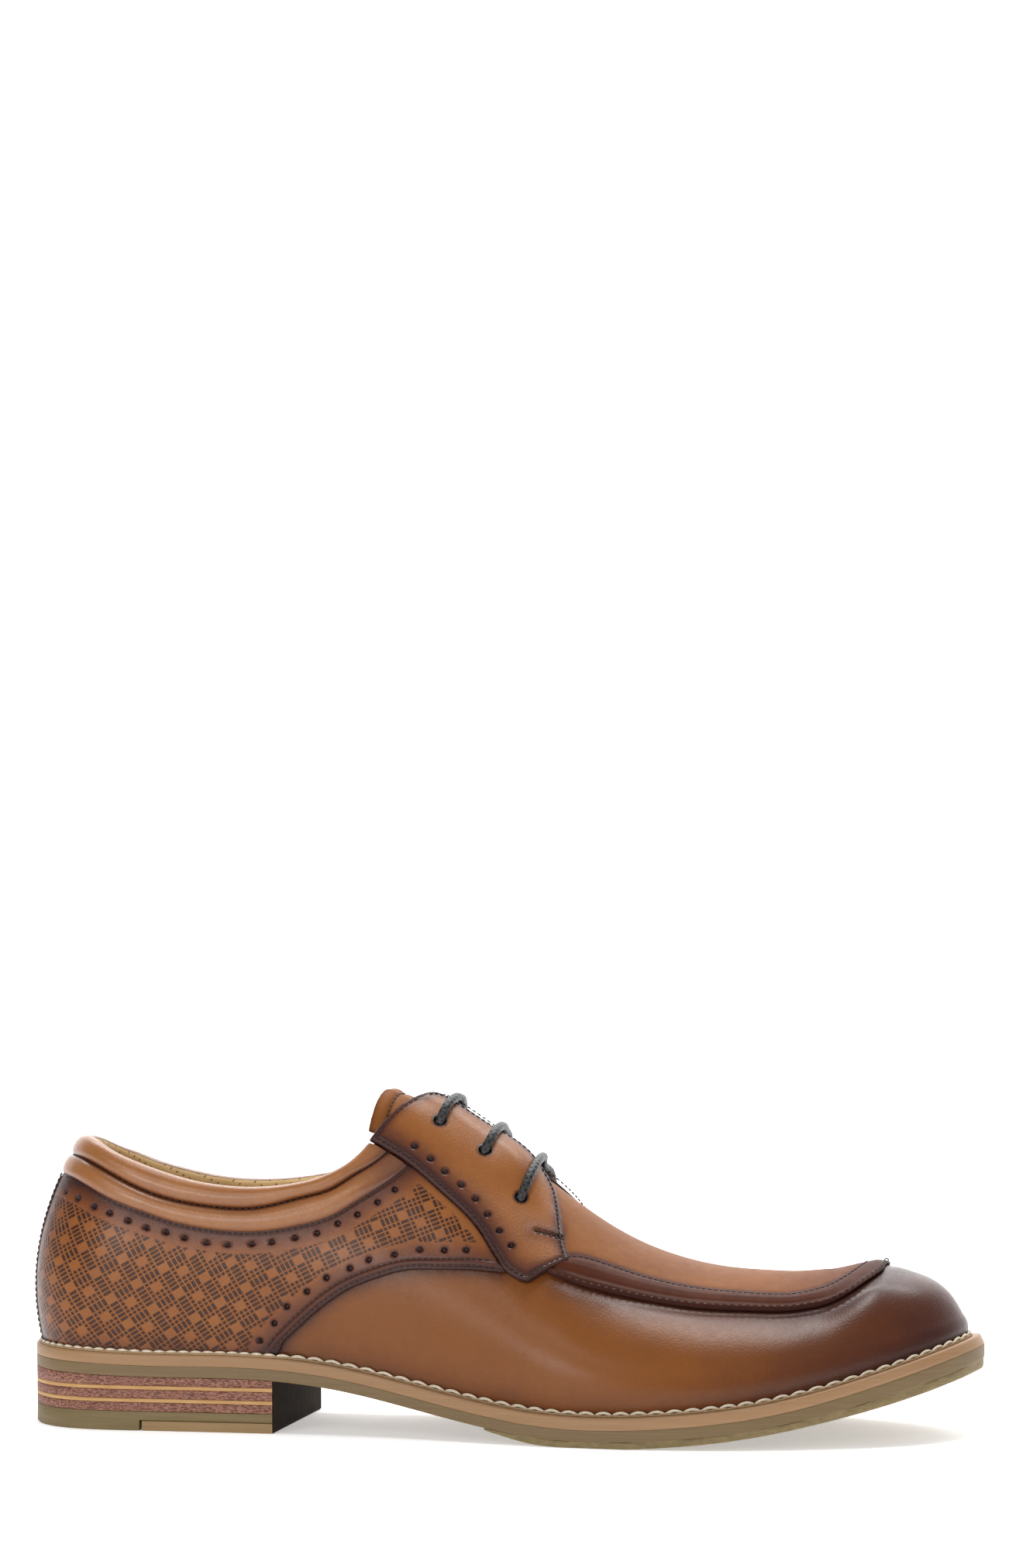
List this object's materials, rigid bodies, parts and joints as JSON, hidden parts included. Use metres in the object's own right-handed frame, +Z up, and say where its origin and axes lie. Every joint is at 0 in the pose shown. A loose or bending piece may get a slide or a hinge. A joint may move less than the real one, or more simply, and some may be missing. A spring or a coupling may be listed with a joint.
{
  "type": "moc toe oxford",
  "caption": "Laced moc toe dress shoe with open facings, padded collar, perforated and embossed quarters, raised apron seam, welted sole and stacked heel.",
  "frame": {"origin": "on the floor under the shoe, midway along the sole and across it", "axes": "+X towards the toe, +Y towards the inner (medial) side, +Z up"},
  "size_m": [0.3066, 0.1078, 0.1082],
  "materials": {
    "tan_leather": "burnished tan calf leather, semi-gloss",
    "embossed_leather": "tan leather embossed with a lattice",
    "burnished_leather": "dark burnished leather",
    "collar_leather": "soft tan leather",
    "apron_leather": "lighter tan leather",
    "insole_lining": "natural lining leather",
    "welt": "light tan welt",
    "midsole": "khaki brown, matte",
    "outsole": "olive gum rubber, matte",
    "stacked_heel": "red brown stacked layers, matte",
    "heel_line": "pale tan layer",
    "heel_lift": "brown rubber lift",
    "lift_insert": "tan rubber insert",
    "waxed_lace": "waxed round lace, near black"
  },
  "bodies": {
    "root": {"upper": "tan_leather", "quarter_lateral": "embossed_leather", "quarter_medial": "embossed_leather", "facing_lateral": "tan_leather", "facing_medial": "tan_leather", "back_strap": "burnished_leather", "collar": "collar_leather", "apron": "apron_leather", "tongue": "collar_leather", "insole": "insole_lining", "welt": "welt", "midsole": "midsole", "outsole": "outsole", "heel_wedge": "stacked_heel", "heel_layer_1": "stacked_heel", "heel_layer_2": "stacked_heel", "heel_line_1": "heel_line", "heel_line_2": "heel_line", "heel_lift": "heel_lift", "heel_lift_insert": "lift_insert", "lace_bar_top": "waxed_lace", "lace_bar_middle": "waxed_lace", "lace_bar_lower": "waxed_lace"}
  },
  "joints": []
}
